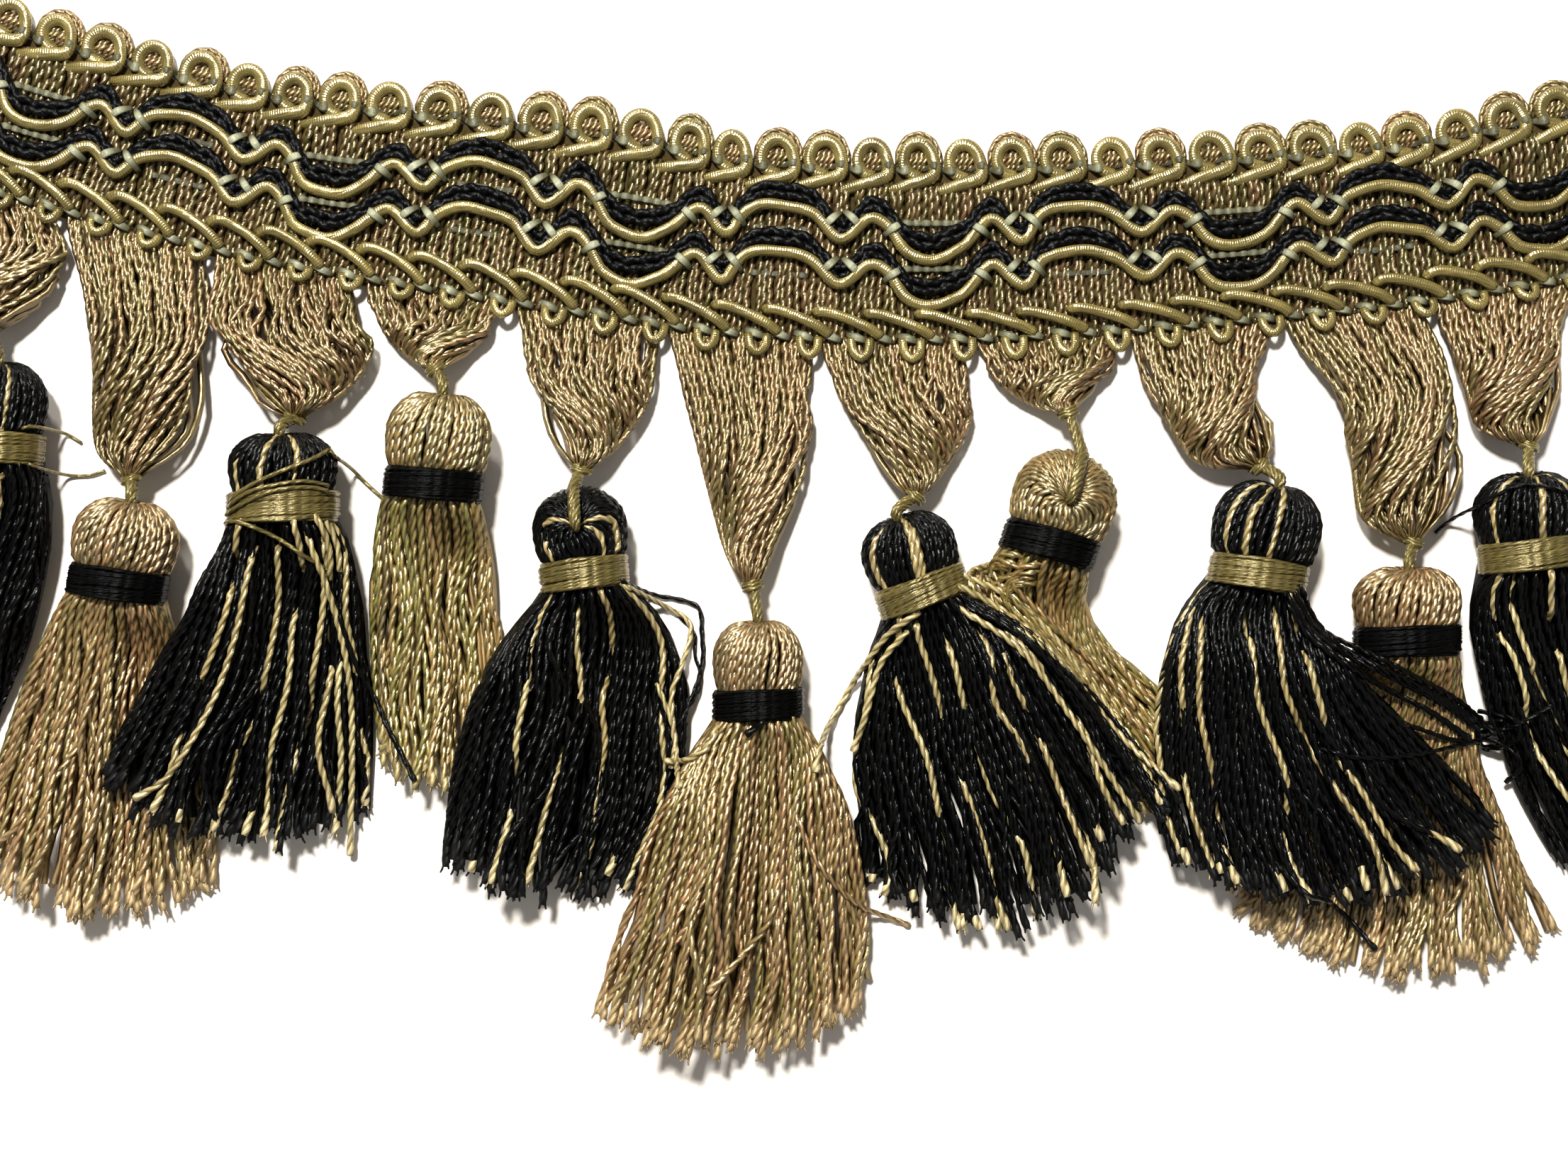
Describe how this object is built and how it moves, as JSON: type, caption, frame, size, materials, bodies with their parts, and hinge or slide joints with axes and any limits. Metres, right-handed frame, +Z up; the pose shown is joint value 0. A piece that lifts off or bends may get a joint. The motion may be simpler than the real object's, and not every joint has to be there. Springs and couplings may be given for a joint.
{
  "type": "tassel fringe trim",
  "caption": "Flat woven gimp heading with scroll edging and wavy black and gold cords, lying face up, with a row of gathered cord skirts that end in banded tassels.",
  "frame": {"origin": "on the flat back of the heading, at the middle of its length and width as it lies", "axes": "+X along the heading to the right, +Y towards the scroll edging, +Z up from the surface, out of the trim's face"},
  "size_m": [0.2712, 0.148, 0.0134],
  "materials": {
    "gold_cord": "glossy two-ply rayon cord, antique gold",
    "black_cord": "glossy two-ply rayon cord, black",
    "gold_gimp": "fine silky thread wrapped tightly round a core, olive gold",
    "gold_braid": "twisted gold yarns woven across the heading in soft ribs",
    "gold_band": "fine gold thread wound round the neck",
    "black_band": "fine black thread wound round the neck",
    "pale_thread": "pale greenish warp stitches"
  },
  "bodies": {
    "root": {"heading_braid": "gold_braid", "scroll_edging": "gold_gimp", "gimp_wave_upper": "gold_gimp", "gimp_wave_lower": "gold_gimp", "black_cord_upper": "black_cord", "black_cord_lower": "black_cord", "gimp_lower": "gold_gimp", "skirt_00": "gold_cord", "tie_00": "gold_gimp", "tassel_00": "black_cord", "band_00": "gold_band", "skirt_01": "gold_cord", "tie_01": "gold_gimp", "tassel_01": "gold_cord", "band_01": "black_band", "skirt_02": "gold_cord", "tie_02": "gold_gimp", "tassel_02": "black_cord", "band_02": "gold_band", "skirt_03": "gold_cord", "tie_03": "gold_gimp", "tassel_03": "gold_cord", "band_03": "black_band", "skirt_04": "gold_cord", "tie_04": "gold_gimp", "tassel_04": "black_cord", "band_04": "gold_band", "skirt_05": "gold_cord", "tie_05": "gold_gimp", "tassel_05": "gold_cord", "band_05": "black_band", "skirt_06": "gold_cord", "tie_06": "gold_gimp", "tassel_06": "black_cord", "band_06": "gold_band", "skirt_07": "gold_cord", "tie_07": "gold_gimp", "tassel_07": "gold_cord", "band_07": "black_band", "skirt_08": "gold_cord", "tie_08": "gold_gimp", "tassel_08": "black_cord", "band_08": "gold_band", "skirt_09": "gold_cord", "tie_09": "gold_gimp", "tassel_09": "gold_cord", "band_09": "black_band", "skirt_10": "gold_cord", "tie_10": "gold_gimp", "tassel_10": "black_cord", "band_10": "gold_band"}
  },
  "joints": []
}
